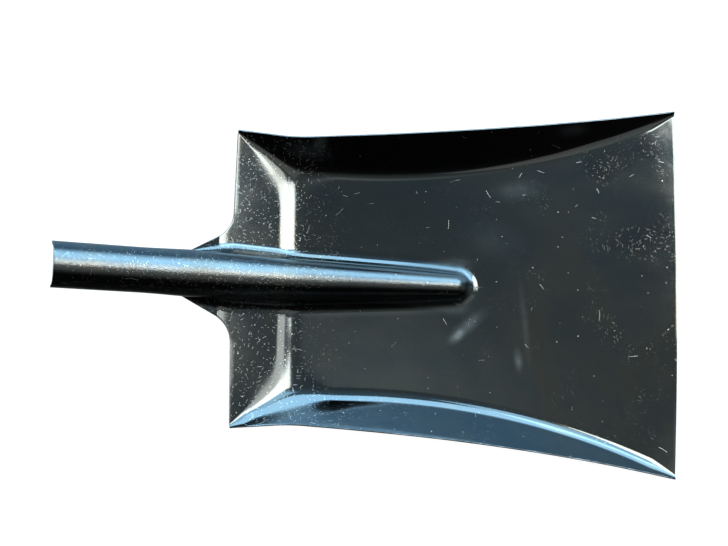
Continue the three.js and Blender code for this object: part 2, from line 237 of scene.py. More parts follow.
def closing_turn(radius, back, edge):
    """How far the arc has to turn for the sheet's edge to lie at a distance from the centre line."""
    opened, closed = math.pi / 2, math.pi
    for _ in range(CLOSING_STEPS):
        turn = (opened + closed) / 2
        out = (radius + WRAP_FILLET) * math.sin(turn) - WRAP_FILLET * math.sin(turn - back)
        if out > edge:
            opened = turn
        else:
            closed = turn
    return opened


def tail_row(x):
    """One side of the sheet across the tail: (point, place on the flat sheet) for each column."""
    to_wrap = clamp01((x + REAR_BOW) / (NECK_WRAP + REAR_BOW))
    to_seam = clamp01((x - NECK_WRAP) / (SEAM_START - NECK_WRAP))
    neck_radius = lerp(RIB_RADIUS_AT_REAR_EDGE, NECK_TUBE_RADIUS, smooth(to_wrap))
    radius = lerp(neck_radius, SOCKET_RADIUS, smooth(to_seam))
    fillet = lerp(RIB_FILLET, WRAP_FILLET, to_wrap)
    turn = lerp(DRAFT_AT_REAR_EDGE, WRAP_TURN, to_wrap**TURN_EASE)
    flank = flank_for(radius + fillet, turn, crest_height(x) - floor_rise(x)) * (1 - smooth(to_wrap))
    fillet_end = (radius + fillet) * math.sin(turn) + flank * math.cos(turn)
    edge = neck_half_width(max(x, NECK_WRAP))
    wing = max(0.0, edge - fillet_end)
    back = turn - math.asin(clamp01((fillet_end - edge) / fillet))
    if to_seam > 0:
        opened = (1 - to_seam) ** CLOSING_EASE
        back *= (1 - to_seam) ** TURN_EASE
        turn = closing_turn(radius, back, lerp(SEAM_GAP / 2, WRAP_HALF_WIDTH, opened))
    section = rib_section(radius, turn, flank, fillet, back, wing)

    lift = SOCKET_LIFT * smooth((x + REAR_BOW) / (LIFT_FULL + REAR_BOW))
    wing_depth = (radius + fillet) * (1 - math.cos(turn)) + flank * math.sin(turn)
    crest_x = x + lerp(wing_depth, 2 * radius, smooth(to_seam)) * math.sin(lift)
    crest = Vector((crest_x, 0, crest_height(crest_x)))
    down = Vector((-math.sin(lift), 0, -math.cos(lift)))
    towards_mouth = Vector((-math.cos(lift), 0, math.sin(lift)))
    near_mouth = smooth(1 - (x - SOCKET_MOUTH) / MOUTH_BLEND) ** 2
    row = []
    for length in column_lengths(section, to_wrap, smooth(to_seam)):
        out, depth = section_point(section, length)
        angle = length / radius
        proud = MOUTH_PROUD * max(0.0, math.cos(angle)) ** 2
        notch = clamp01((angle - MOUTH_NOTCH_START) / (math.pi - MOUTH_NOTCH_START))
        along = near_mouth * (proud - MOUTH_NOTCH * notch**MOUTH_NOTCH_EASE)
        point = crest + down * depth + towards_mouth * along
        point.y = out
        row.append((point, (x - along, length)))
    return row


def rib_row(x):
    """One side of the rib across the dish and the floor beside it."""
    along = clamp01(x / NOSE)
    station = -REAR_BOW if x == 0 else x
    rise = floor_rise(station)
    radius = lerp(RIB_RADIUS_AT_REAR_EDGE, NOSE_RADIUS, along)
    radii = radius + RIB_FILLET
    height = crest_height(station) - rise
    draft = lerp(DRAFT_AT_REAR_EDGE, DRAFT_AT_NOSE, along)
    turn = min(draft, math.acos(max(-1.0, 1 - height / radii)))
    flank = flank_for(radii, turn, height)
    wing = NECK_HALF_WIDTH - radii * math.sin(turn) - flank * math.cos(turn)
    section = rib_section(radius, turn, flank, RIB_FILLET, turn, wing)
    row = []
    for length in column_lengths(section, 0, 0):
        out, depth = section_point(section, length)
        row.append(Vector((station, out, rise + height - depth)))
    return row


def nose_row(start, ring):
    """One side of a ring round the rib's nose, at the height of one column of the row it starts from."""
    reach = start[ring].y

    def round_point(y):
        scale = max(y, reach) / math.hypot(y, reach)
        return Vector((NOSE + reach * scale * NOSE_STRETCH, y * scale, 0))

    foot_y = start[RIB_COLUMNS].y
    foot = round_point(foot_y)
    outer = Vector((NOSE + reach * NOSE_STRETCH, NECK_HALF_WIDTH, 0))
    row = []
    for column, at in enumerate(start):
        if column > RIB_COLUMNS:
            row.append(foot.lerp(outer, (at.y - foot_y) / (NECK_HALF_WIDTH - foot_y)))
            continue
        point = round_point(at.y)
        fall = (point.x - NOSE) * math.tan(RIB_SLOPE) / start[0].z
        point.z = start[max(column, ring)].z * (1 - fall)
        row.append(point)
    return row


def dish_row(x, inner):
    """One side of the sheet across the dish: the given inner points, then floor, fold and side wall."""
    rise = floor_rise(x)
    valley = fold_half_width(x) + rise / math.tan(WALL_ANGLE)
    outline = lerp(REAR_HALF_WIDTH, LIP_HALF_WIDTH, x / DISH_LENGTH)
    edge = lerp(fold_half_width(x) + rise, outline, EDGE_SHARE)
    wall = (edge - valley) / math.cos(WALL_ANGLE)
    tangent = min(WALL_FILLET * math.tan(WALL_ANGLE / 2), WALL_FILLET_SHARE * wall)
    fillet = tangent / math.tan(WALL_ANGLE / 2)
    fold_from = valley - tangent
    points = list(inner)
    for k in range(1, FLOOR_COLUMNS + 1):
        points.append(Vector((x, lerp(NECK_HALF_WIDTH, fold_from, k / FLOOR_COLUMNS), rise)))
    for k in range(1, FOLD_COLUMNS + 1):
        angle = WALL_ANGLE * k / FOLD_COLUMNS
        y = fold_from + fillet * math.sin(angle)
        points.append(Vector((x, y, rise + fillet * (1 - math.cos(angle)))))
    for k in range(1, WALL_COLUMNS + 1):
        up = lerp(tangent, wall, k / WALL_COLUMNS)
        y = valley + up * math.cos(WALL_ANGLE)
        points.append(Vector((x, y, rise + up * math.sin(WALL_ANGLE))))
    lip = max(0.0, (x - LIP_BOW_START) / (DISH_LENGTH - LIP_BOW_START)) ** 2
    crest = crest_height(min(x, NOSE))
    row = []
    for column, point in enumerate(points):
        over_wall = math.tan(WALL_ANGLE / 2) * (point.z - rise) if column >= len(inner) else 0.0
        across = point.y + max(0.0, crest - (rise if over_wall else point.z)) + over_wall
        if x == 0 and column >= len(inner):
            back = REAR_BOW * clamp01((REAR_HALF_WIDTH - point.y) / (REAR_HALF_WIDTH - NECK_HALF_WIDTH))
            point.x -= back
            point.z += back * math.tan(REAR_SLOPE)
        point.x += LIP_BOW * lip * (1 - (point.y / LIP_HALF_WIDTH) ** 2)
        row.append((point, (point.x, across)))
    corner = row[-1][0]
    if x == 0:
        corner.x += CORNER_CUT
    if x == DISH_LENGTH:
        corner.x -= CORNER_CUT
    return row


def stations(*stretches):
    """Places along X from stretches of (end, spacing); each starts where the last one ended."""
    places = [stretches[0][0]]
    for end, spacing in stretches[1:]:
        start = places[-1]
        steps = max(1, round(abs(end - start) / spacing))
        places += [lerp(start, end, k / steps) for k in range(1, steps + 1)]
    return places


def sheet_rows():
    """One side of the whole sheet, from the socket's mouth to the lip."""
    arc_centre = -REAR_BOW - NECK_RADIUS
    neck_arc = [arc_centre + NECK_RADIUS * math.cos(angle) for angle in NECK_ARC_ANGLES]
    tail = [x for x in stations(*TAIL_STRETCHES) if x < neck_arc[0] - NECK_ARC_GAP]
    rows = [tail_row(x) for x in tail + neck_arc]
    rows += [dish_row(x, rib_row(x)) for x in stations(*RIB_STRETCHES)]
    start = rib_row(NOSE)
    for ring in range(1, RIB_COLUMNS + 1):
        rows.append(dish_row(NOSE + start[ring].y * NOSE_STRETCH, nose_row(start, ring)))
    last_ring = NOSE + start[RIB_COLUMNS].y * NOSE_STRETCH
    for x in stations((last_ring, 0), *LIP_STRETCHES)[1:]:
        rows.append(dish_row(x, [Vector((x, at.y, 0)) for at in start]))
    return rows


def placed(point):
    """A point of the millimetre frame in the model's frame, no further to the side than the CAD sheet."""
    y = min(SHEET_HIGH.y, max(SHEET_LOW.y, point.y * MM))
    return Vector(((point.x - ORIGIN_X) * MM, y, (point.z + TOP_FACE_Z) * MM))


# ---------------------------------------------------------------------------------------------------------
# The socket's own frame


def socket_frame(from_mouth):
    """X towards the mouth, Y across, Z away from the seam; the origin on the socket's axis. Millimetres."""
    crest_x = SOCKET_MOUTH + 2 * SOCKET_RADIUS * math.sin(SOCKET_LIFT)
    towards_mouth = Vector((-math.cos(SOCKET_LIFT), 0, math.sin(SOCKET_LIFT)))
    up = Vector((math.sin(SOCKET_LIFT), 0, math.cos(SOCKET_LIFT)))
    origin = Vector((crest_x, 0, crest_height(crest_x))) - up * SOCKET_RADIUS
    origin -= towards_mouth * from_mouth
    across = up.cross(towards_mouth)
    turn = Matrix((towards_mouth, across, up)).transposed().to_4x4()
    return Matrix.Translation(origin) @ turn


# ---------------------------------------------------------------------------------------------------------
# The sheet's mesh

HOLE_REACH = 4  # grid cells cut away on each side of the screw hole's middle
HOLE_RINGS = 3
LOWER_SIDE = 7.0  # metres between the lower face's and the upper face's places on the flat sheet
EDGE_RADIUS = 0.35
LIP_CORNER_REACH = 12
LIP_CORNER_EASE = 0.15  # share of that radius at the lip's corners, where the grid is too fine for it
RIPPLE = 0.30  # how far the pressing stands off its true shape, always on the upper face's side
RIPPLE_LENGTH = 75
RIPPLE_DETAIL = 0.4  # a second, finer ripple's share and how many times finer it is
RIPPLE_DETAIL_SCALE = 2.7
RIPPLE_DETAIL_SHIFT = Vector((9, 4, 2))
RIPPLE_ON_TAIL = 0.3
TAIL_FADE = 60
CORNER_REACH = 42
CORNER_SOFTENING = 0.7
CORNER_PASSES = 90


def hole_rings(loop):
    """Rings of (point, flat) on the socket's surface, from a loop of vertices to the screw hole's edge."""
    local = socket_frame(SCREW_HOLE_FROM_MOUTH).inverted()
    rings = []
    for ring in range(1, HOLE_RINGS + 1):
        share = ring / HOLE_RINGS
        points = []
        for point, flat in loop:
            p = local @ point
            reach = math.hypot(p.x, p.z)
            wanted = lerp(reach, SCREW_HOLE_RADIUS, share)
            x, z = p.x * wanted / reach, p.z * wanted / reach
            side = 1 if p.y > 0 else -1
            on_tube = Vector((x, side * math.sqrt(SOCKET_RADIUS**2 - z * z), z))
            turned = SOCKET_RADIUS * (math.pi / 2 - math.asin(z / SOCKET_RADIUS))
            moved = flat[0] + (p.x - x)
            points.append((local.inverted() @ on_tube, (moved, side * turned)))
        rings.append(points)
    return rings


def upper_face():
    """Vertices (point, flat) and quads of the sheet's whole upper face, with the two screw holes."""
    vertices, first, centre = [], [], []
    rows = sheet_rows()
    for half in rows:
        first.append(len(vertices))
        centre.append(len(half) - 1)
        for point, flat in reversed(half[1:]):
            vertices.append((Vector((point.x, -point.y, point.z)), (flat[0], -flat[1])))
        vertices += half

    def vertex(row, column):
        return first[row] + centre[row] + column

    local = socket_frame(SCREW_HOLE_FROM_MOUTH).inverted()
    holes = []
    for side in (-1, 1):
        target = min(
            ((row, side * column) for row in range(len(rows) // 3) for column in range(1, centre[row])),
            key=lambda at: math.hypot(*(local @ vertices[vertex(*at)][0]).xz),
        )
        holes.append(target)
    quads = []
    for row in range(len(rows) - 1):
        reach = min(centre[row], centre[row + 1])
        for column in range(-reach, reach):
            in_hole = any(
                -HOLE_REACH <= row - r < HOLE_REACH and -HOLE_REACH <= column - c < HOLE_REACH
                for r, c in holes
            )
            if not in_hole:
                corners = [(row, column), (row + 1, column), (row + 1, column + 1), (row, column + 1)]
                quads.append([vertex(*corner) for corner in corners])
    for r, c in holes:
        span = range(-HOLE_REACH, HOLE_REACH)
        loop = [vertex(r + k, c - HOLE_REACH) for k in span]
        loop += [vertex(r + HOLE_REACH, c + k) for k in span]
        loop += [vertex(r - k, c + HOLE_REACH) for k in span]
        loop += [vertex(r - HOLE_REACH, c - k) for k in span]
        outer = loop
        for ring in hole_rings([vertices[k] for k in loop]):
            start = len(vertices)
            vertices += ring
            inner = [start + k for k in range(len(ring))]
            for k in range(len(ring)):
                n = (k + 1) % len(ring)
                quads.append([inner[n], inner[k], outer[k], outer[n]])
            outer = inner
    return vertices, quads


def rim_edges(quads):
    """The edges that only one quad has, as (from, to) in that quad's direction."""
    directed = {(quad[k], quad[(k + 1) % 4]) for quad in quads for k in range(4)}
    return [(a, b) for a, b in sorted(directed) if (b, a) not in directed]


def soften_corners(vertices, quads):
    """Rounds the upper face where the rear slope, the floor and a side wall meet."""
    beside = [set() for _ in vertices]
    for quad in quads:
        for k, at in enumerate(quad):
            beside[at] |= {quad[k - 1], quad[(k + 1) % 4]}
    rim = {k for edge in rim_edges(quads) for k in edge}
    middle = Vector((REAR_BEND, FOLD_HALF_WIDTH))
    moved = {}
    for k, (point, _) in enumerate(vertices):
        away = (Vector((point.x, abs(point.y))) - middle).length
        if away < CORNER_REACH and k not in rim:
            moved[k] = CORNER_SOFTENING * smooth(1 - away / CORNER_REACH)
    for _ in range(CORNER_PASSES):
        means = {k: sum((vertices[n][0] for n in beside[k]), Vector()) / len(beside[k]) for k in moved}
        for k, share in moved.items():
            vertices[k] = (vertices[k][0].lerp(means[k], share), vertices[k][1])


def used_only(vertices, quads):
    """The same mesh without the vertices that no quad uses."""
    used = sorted({k for quad in quads for k in quad})
    renumbered = {old: new for new, old in enumerate(used)}
    return [vertices[k] for k in used], [[renumbered[k] for k in quad] for quad in quads]


def off_true(point):
    """How far a pressed sheet stands off its true shape at a point, in millimetres."""
    where = point / RIPPLE_LENGTH
    detail = noise.noise(where * RIPPLE_DETAIL_SCALE + RIPPLE_DETAIL_SHIFT)
    wave = 0.5 + 0.5 * (noise.noise(where) + RIPPLE_DETAIL * detail)
    on_dish = smooth((point.x + TAIL_FADE) / TAIL_FADE)
    return RIPPLE * max(0.0, wave) * lerp(RIPPLE_ON_TAIL, 1.0, on_dish)


def sheet_mesh():
    """The closed sheet: upper face, lower face and the cut edge between them, with its corners eased."""
    vertices, quads = used_only(*upper_face())
    soften_corners(vertices, quads)
    normals = [Vector() for _ in vertices]
    for quad in quads:
        a, b, c, d = (vertices[k][0] for k in quad)
        normal = (c - a).cross(d - b)
        for k in quad:
            normals[k] += normal
    count = len(vertices)
    upper, lower = [], []
    for (point, _), normal in zip(vertices, normals):
        normal.normalize()
        true = point + normal * off_true(point)
        upper.append(placed(true))
        lower.append(placed(true - normal * SHEET))
    faces = list(quads) + [[k + count for k in reversed(quad)] for quad in quads]
    rim = rim_edges(quads)
    faces += [[b, a, a + count, b + count] for a, b in rim]

    mesh = bpy.data.meshes.new("scoop_sheet")
    mesh.from_pydata(upper + lower, [], faces)
    flat = mesh.attributes.new("flat", "FLOAT_VECTOR", "POINT")
    values = []
    for side in (0.0, LOWER_SIDE):
        for _, (u, v) in vertices:
            values += [u * MM + side, v * MM, 0.0]
    flat.data.foreach_set("vector", values)
    mesh.polygons.foreach_set("material_index", [0] * (2 * len(quads)) + [1] * len(rim))
    weight = mesh.attributes.new("bevel_weight_edge", "FLOAT", "EDGE")
    corners = {frozenset(edge) for edge in rim} | {frozenset((a + count, b + count)) for a, b in rim}
    for edge in mesh.edges:
        if frozenset(edge.vertices) in corners:
            at = mesh.vertices[edge.vertices[0]].co / MM
            at_lip = at.x + ORIGIN_X > DISH_LENGTH - LIP_CORNER_REACH
            at_corner = at_lip and abs(at.y) > FOLD_LIP_HALF_WIDTH - LIP_CORNER_REACH
            weight.data[edge.index].value = LIP_CORNER_EASE if at_corner else 1.0
    mesh.shade_smooth()
    mesh.validate()
    return mesh


def finished(obj):
    """obj with its modifiers applied."""
    bpy.context.view_layer.update()
    evaluated = obj.evaluated_get(bpy.context.evaluated_depsgraph_get())
    mesh = bpy.data.meshes.new_from_object(evaluated)
    obj.modifiers.clear()
    obj.data = mesh
    return obj


def new_object(name, mesh):
    obj = bpy.data.objects.new(name, mesh)
    bpy.context.scene.collection.objects.link(obj)
    return obj


# ---------------------------------------------------------------------------------------------------------
# The stitch welds

WELD_SINK = 0.15  # the bead's toes run this far into the sheet
WELD_ROOT_DROP = 0.05  # and its root's ends lie this much deeper
WELD_END_POWER = 5  # how square the bead's ends are
WELD_CROWN_POWER = 2.4
WELD_RIPPLES = 9
WELD_RIPPLE_HEIGHT = 0.16
WELD_RIPPLE_BOW = 0.10
WELD_WANDER = 0.25
WELD_UNEVENNESS = 0.08
WELD_GRAIN = 0.05
WELD_STEPS_ALONG = 72
WELD_STEPS_ACROSS = 20


def weld_end(s):
    """How wide and tall the bead is at s along it, from 0 at its ends to 1."""
    return math.sqrt(max(0.0, 1 - abs(s) ** WELD_END_POWER))


def weld_cap(s, t, seed):
    """A point of the bead's crowned and rippled face, at s along it and t across it, both from -1 to 1."""
    x = s * WELD_LENGTH / 2
    end = weld_end(s)
    wander = WELD_WANDER * noise.noise(Vector((x * 0.4, seed, 0)))
    uneven = 1 + WELD_UNEVENNESS * noise.noise(Vector((x * 0.5, seed + 5, t)))
    half = WELD_WIDTH / 2 * end * uneven
    y = t * half + wander * end
    crown = (1 - abs(t) ** WELD_CROWN_POWER) * end
    phase = (s + WELD_RIPPLE_BOW * t * t) * WELD_RIPPLES * math.pi
    ripple = WELD_RIPPLE_HEIGHT * math.cos(phase) * crown
    grain = WELD_GRAIN * noise.noise(Vector((x * 2.2, y * 2.2, seed + 11))) * crown
    reach = SOCKET_RADIUS - WELD_SINK + (WELD_HEIGHT + WELD_SINK - WELD_RIPPLE_HEIGHT) * crown
    reach += ripple + grain
    angle = y / SOCKET_RADIUS
    return x, reach * math.sin(angle), -reach * math.cos(angle)


def weld_root(s, t):
    """A point of the bead's root, between the seam's edges."""
    end = weld_end(s)
    depth = lerp(SOCKET_RADIUS - WELD_SINK - WELD_ROOT_DROP, SOCKET_RADIUS - SHEET, end)
    return s * WELD_LENGTH / 2, t * (SEAM_GAP / 2) * end, -depth


def weld_mesh(seed):
    """A short bead along the seam: a crowned, rippled cap with rounded ends, and a root between edges."""
    bm = bmesh.new()
    along = [2 * i / WELD_STEPS_ALONG - 1 for i in range(WELD_STEPS_ALONG + 1)]
    across = [2 * j / WELD_STEPS_ACROSS - 1 for j in range(WELD_STEPS_ACROSS + 1)]
    cap = [[bm.verts.new(weld_cap(s, t, seed)) for t in across] for s in along]
    root = [[bm.verts.new(weld_root(s, t)) for t in across] for s in along]
    for i in range(WELD_STEPS_ALONG):
        for j in range(WELD_STEPS_ACROSS):
            bm.faces.new((cap[i][j], cap[i][j + 1], cap[i + 1][j + 1], cap[i + 1][j]))
            bm.faces.new((root[i][j], root[i + 1][j], root[i + 1][j + 1], root[i][j + 1]))
        for j in (0, WELD_STEPS_ACROSS):
            bm.faces.new((cap[i][j], cap[i + 1][j], root[i + 1][j], root[i][j]))
    for i in (0, WELD_STEPS_ALONG):
        for j in range(WELD_STEPS_ACROSS):
            bm.faces.new((cap[i][j], cap[i][j + 1], root[i][j + 1], root[i][j]))
    bmesh.ops.remove_doubles(bm, verts=bm.verts, dist=1e-4)
    bmesh.ops.recalc_face_normals(bm, faces=bm.faces)
    mesh = bpy.data.meshes.new("weld_bead")
    bm.to_mesh(mesh)
    bm.free()
    mesh.shade_smooth()
    return mesh


# ---------------------------------------------------------------------------------------------------------
# Materials


class Nodes:
    """A material's nodes. Each method adds some and returns an output; a value is a number or an output."""

    def __init__(self, name):
        self.material = bpy.data.materials.new(name)
        self.material.use_nodes = True
        self.tree = self.material.node_tree
        self.shader = self.tree.nodes["Principled BSDF"]

    def node(self, kind, inputs, output=0, **settings):
        made = self.tree.nodes.new(kind)
        for name, value in settings.items():
            setattr(made, name, value)
        for name, value in inputs.items():
            self.set(made.inputs[name], value)
        return made.outputs[output]

    def set(self, socket, value):
        if isinstance(value, bpy.types.NodeSocket):
            self.tree.links.new(value, socket)
        else:
            socket.default_value = value

    def finish(self, **values):
        for name, value in values.items():
            self.set(self.shader.inputs[name.replace("_", " ")], value)
        return self.material

    def math(self, operation, a, b=0.0, c=0.0, clamp=False):
        return self.node("ShaderNodeMath", {0: a, 1: b, 2: c}, operation=operation, use_clamp=clamp)

    def vector(self, operation, a, b):
        return self.node("ShaderNodeVectorMath", {0: a, 1: b}, operation=operation)

    def scaled(self, vector, factors):
        return self.vector("MULTIPLY", vector, factors)

    def ramp(self, value, low, high, to_low=0.0, to_high=1.0):
        inputs = {"Value": value, "From Min": low, "From Max": high, "To Min": to_low, "To Max": to_high}
        return self.node("ShaderNodeMapRange", inputs, interpolation_type="SMOOTHSTEP")

    def mix(self, factor, a, b):
        return self.node("ShaderNodeMix", {0: factor, 6: a, 7: b}, 2, data_type="RGBA")

    def noise(self, vector, size, detail=3.0, roughness=0.5, distortion=0.0):
        inputs = {
            "Vector": vector,
            "Scale": 1 / size,
            "Detail": detail,
            "Roughness": roughness,
            "Distortion": distortion,
        }
        return self.node("ShaderNodeTexNoise", inputs)

    def cells(self, vector, size):
        """(distance to the nearest seed, that seed's place, its three random numbers) of cells of a size."""
        distance = self.node("ShaderNodeTexVoronoi", {"Vector": vector, "Scale": 1 / size})
        voronoi = distance.node
        parts = self.node("ShaderNodeSeparateColor", {0: voronoi.outputs["Color"]}).node.outputs
        return distance, voronoi.outputs["Position"], parts

    def flecks(self, place, size, chance, radius):
        """Round specks, one in some of the cells."""
        distance, _, (one, two, three) = self.cells(place, size)
        reach = self.math("MULTIPLY", one, radius / size)
        near = self.ramp(self.math("DIVIDE", distance, reach), 1.0, 0.45)
        kept = self.math("LESS_THAN", two, chance)
        strength = self.math("MULTIPLY", kept, self.ramp(three, 0.0, 1.0, 0.25, 1.0))
        return self.math("MULTIPLY", near, strength)

    def hairs(self, place, size, chance, length, width, curl):
        """Short fine marks, one in some of the cells, each turned and curled its own way."""
        _, seed, (one, two, three) = self.cells(place, size)
        away = self.vector("SUBTRACT", place, seed)
        angle = self.math("MULTIPLY", one, math.tau)
        inputs = {"Vector": away, "Angle": angle}
        turned = self.node("ShaderNodeVectorRotate", inputs, rotation_type="Z_AXIS")
        x, y, _ = self.node("ShaderNodeSeparateXYZ", {0: turned}).node.outputs
        curled = self.math("MULTIPLY", self.math("MULTIPLY", x, x), self.ramp(two, 0, 1, -curl, curl))
        aside = self.math("ABSOLUTE", self.math("ADD", y, curled))
        reach = self.math("MULTIPLY", three, length / 2)
        across = self.ramp(aside, width, width * 0.3)
        along = self.math("LESS_THAN", self.math("ABSOLUTE", x), reach)
        kept = self.math("LESS_THAN", self.math("FRACT", self.math("MULTIPLY", two, 7.31)), chance)
        return self.math("MULTIPLY", self.math("MULTIPLY", across, along), kept)

    def patch(self, spot, at, half_sizes, degrees):
        """A soft-edged ellipse on the dish, its first half size turned by an angle from X."""
        away = self.vector("SUBTRACT", spot, (*at, 0.0))
        inputs = {"Vector": away, "Angle": -math.radians(degrees)}
        turned = self.node("ShaderNodeVectorRotate", inputs, rotation_type="Z_AXIS")
        scaled = self.scaled(turned, (1 / half_sizes[0], 1 / half_sizes[1], 0.0))
        length = self.node("ShaderNodeVectorMath", {0: scaled}, "Value", operation="LENGTH")
        return self.ramp(length, 1.0, 0.0)

    def sum(self, *parts):
        """The parts added up and clamped; each is an output, or an output with the share of it to take."""
        total = 0.0
        for part in parts:
            value, share = part if isinstance(part, tuple) else (part, 1.0)
            total = self.math("MULTIPLY_ADD", value, share, total, clamp=True)
        return total


STEEL = (0.092, 0.102, 0.104, 1)
STEEL_BLUED = (0.070, 0.087, 0.098, 1)
# Brown of stains, and of a painted reflection that follows the fold
STAIN_AND_REFLECTION_BROWN = (0.112, 0.106, 0.092, 1)
# Grey of rubbed patches, and of painted reflections on the +Y side wall
SCUFF_AND_REFLECTION_GREY = (0.30, 0.32, 0.31, 1)
MARK = (0.80, 0.74, 0.66, 1)

# Rubbed patches on the dish, and pale patches on the +Y side wall that are painted reflections: (place, half
# sizes, angle, strength), in metres and degrees.
RUBBED_AND_REFLECTION_PATCHES = (
    ((0.082, -0.036), (0.030, 0.009), 40, 0.40),
    ((0.073, -0.046), (0.013, 0.007), 40, 0.45),
    ((0.136, -0.033), (0.055, 0.005), 97, 0.16),
    ((0.130, -0.066), (0.015, 0.006), 97, 0.40),
    ((0.128, 0.091), (0.034, 0.014), 8, 0.22),
    ((0.106, 0.045), (0.040, 0.024), -15, 0.10),
    # These two are painted reflections: pale patches on the +Y side wall
    ((-0.070, 0.117), (0.030, 0.010), -8, 0.16),
    ((-0.058, 0.124), (0.010, 0.010), 0, 0.30),
    # A painted reflection on the +Y side wall
    ((0.176, 0.147), (0.022, 0.008), 8, 0.18),
)
# A brownish line that follows the fold, which is a painted reflection, and a stained smudge near it.
STAINS_AND_PAINTED_REFLECTION = (
    ((0.185, -0.143), (0.055, 0.006), -19, 0.8),
    ((0.042, -0.080), (0.024, 0.007), 15, 0.8),
)


def lacquered_steel():
    """Dark steel under clear lacquer: cloudy, stained, worn in patches, with hair marks and specks, and
    painted reflections: a brown line by the fold and pale patches on the +Y side wall.
    """
    n = Nodes("lacquered_steel")
    place = n.node("ShaderNodeAttribute", {}, "Vector", attribute_name="flat")
    spot = n.node("ShaderNodeNewGeometry", {}, "Position")
    u, v, _ = n.node("ShaderNodeSeparateXYZ", {0: place}).node.outputs
    aside = n.math("ABSOLUTE", v)
    on_top = n.math("LESS_THAN", u, LOWER_SIDE / 2)

    clouds = n.noise(n.scaled(spot, (0.55, 1.0, 1.0)), 0.045, 4.0, 0.6, 0.6)
    fine_clouds = n.noise(spot, 0.011, 3.0, 0.6)
    stain = n.ramp(n.noise(n.scaled(spot, (1.2, 0.6, 1.0)), 0.12, 3.0, 0.55, 1.2), 0.48, 0.7)
    # The brownish line by the fold is a painted reflection; the smudge beside it is a stain
    smear_and_reflection = n.sum(*((n.patch(spot, at, sizes, angle), share) for at, sizes, angle, share in STAINS_AND_PAINTED_REFLECTION))
    smear_and_reflection = n.math("MULTIPLY", n.math("MULTIPLY", smear_and_reflection, on_top), n.ramp(fine_clouds, 0.3, 0.6))
    # Rubbed patches, and painted reflections on the +Y side wall
    rubbed_and_reflected = n.sum(*((n.patch(spot, at, sizes, angle), share) for at, sizes, angle, share in RUBBED_AND_REFLECTION_PATCHES))
    rubbed_and_reflected = n.math("MULTIPLY", n.math("MULTIPLY", rubbed_and_reflected, on_top), n.ramp(fine_clouds, 0.1, 0.7, 0.5, 1.0))

    # The rear is the most handled. The rib's crest is grainy and its flanks are satin.
    rear = n.math("MULTIPLY", n.ramp(u, 0.13, 0.04), n.ramp(u, -0.16, 0.0, 0.5, 1.0))
    crest = n.math("MULTIPLY", n.ramp(aside, 0.019, 0.008), n.ramp(u, 0.235, 0.215))
    flank = n.math("MULTIPLY", n.ramp(aside, 0.011, 0.018), n.ramp(aside, 0.045, 0.035))
    flank = n.math("MULTIPLY", flank, n.ramp(u, 0.225, 0.205))
    busy = n.ramp(n.noise(place, 0.04, 3.0), 0.4, 0.7)
    handled = n.sum((rear, 0.75), (busy, 0.3))

    specks = n.flecks(place, 0.0021, 0.34, 0.00055)
    dots = n.flecks(n.vector("ADD", place, (3.1, 1.7, 0)), 0.0048, 0.42, 0.0008)
    warp = n.node("ShaderNodeTexNoise", {"Vector": place, "Scale": 160.0, "Detail": 1.0}, "Color")
    bent = n.vector("ADD", place, n.scaled(warp, (0.0010, 0.0010, 0)))
    short = n.hairs(n.vector("ADD", bent, (1.3, 2.9, 0)), 0.0036, 0.34, 0.0030, 0.00013, 150.0)
    other = n.hairs(n.vector("ADD", bent, (7.3, 0.9, 0)), 0.0052, 0.34, 0.0044, 0.00013, 90.0)
    long = n.hairs(n.vector("ADD", bent, (5.7, 0.4, 0)), 0.026, 0.22, 0.010, 0.00015, 30.0)
    marks = n.math("MAXIMUM", n.math("MULTIPLY", short, 0.75), n.math("MULTIPLY", other, 0.6))
    marks = n.math("MAXIMUM", marks, n.math("MULTIPLY", specks, 0.8))
    marks = n.math("MULTIPLY", marks, handled)
    marks = n.math("MAXIMUM", marks, n.math("MULTIPLY", n.math("MAXIMUM", dots, long), 0.55))

    steel = n.mix(n.ramp(clouds, 0.3, 0.7), STEEL_BLUED, STEEL)
    # Stains in brown, with the painted reflection line by the fold
    steel = n.mix(n.sum((stain, 0.6), smear_and_reflection), steel, STAIN_AND_REFLECTION_BROWN)
    steel = n.mix(n.ramp(fine_clouds, 0.35, 0.8, 0.0, 0.22), steel, STAIN_AND_REFLECTION_BROWN)
    # Grey for the rubbed patches and the painted reflections on the +Y side wall
    steel = n.mix(rubbed_and_reflected, steel, SCUFF_AND_REFLECTION_GREY)
    colour = n.mix(marks, steel, MARK)
    rough = n.ramp(clouds, 0.3, 0.75, 0.06, 0.085)
    rough = n.math("MULTIPLY_ADD", flank, 0.22, rough)
    rough = n.math("MULTIPLY_ADD", n.ramp(u, 0.10, 0.06), 0.035, rough)
    rough = n.math("MULTIPLY_ADD", marks, 0.42, rough)
    rough = n.math("MULTIPLY_ADD", rubbed_and_reflected, 0.45, rough)
    metallic = n.math("SUBTRACT", 1.0, n.sum((marks, 0.25), (rubbed_and_reflected, 0.5)))

    waves = n.noise(spot, 0.022, 2.0, 0.5)
    swell = n.node("ShaderNodeBump", {"Strength": 1.0, "Distance": 0.00004, "Height": waves})
    grain = n.noise(place, 0.0011, 2.0, 0.6)
    strength = n.sum((crest, 0.50), (rear, 0.035), (busy, 0.012))
    inputs = {"Strength": strength, "Distance": 0.0004, "Height": grain, "Normal": swell}
    fine = n.node("ShaderNodeBump", inputs)
    inputs = {"Strength": 0.5, "Distance": 0.00008, "Height": marks, "Normal": fine}
    scored = n.node("ShaderNodeBump", inputs)
    return n.finish(
        Base_Color=colour,
        Metallic=metallic,
        Roughness=rough,
        Coat_Weight=0.5,
        Coat_Roughness=0.04,
        Coat_Normal=fine,
        Normal=scored,
    )


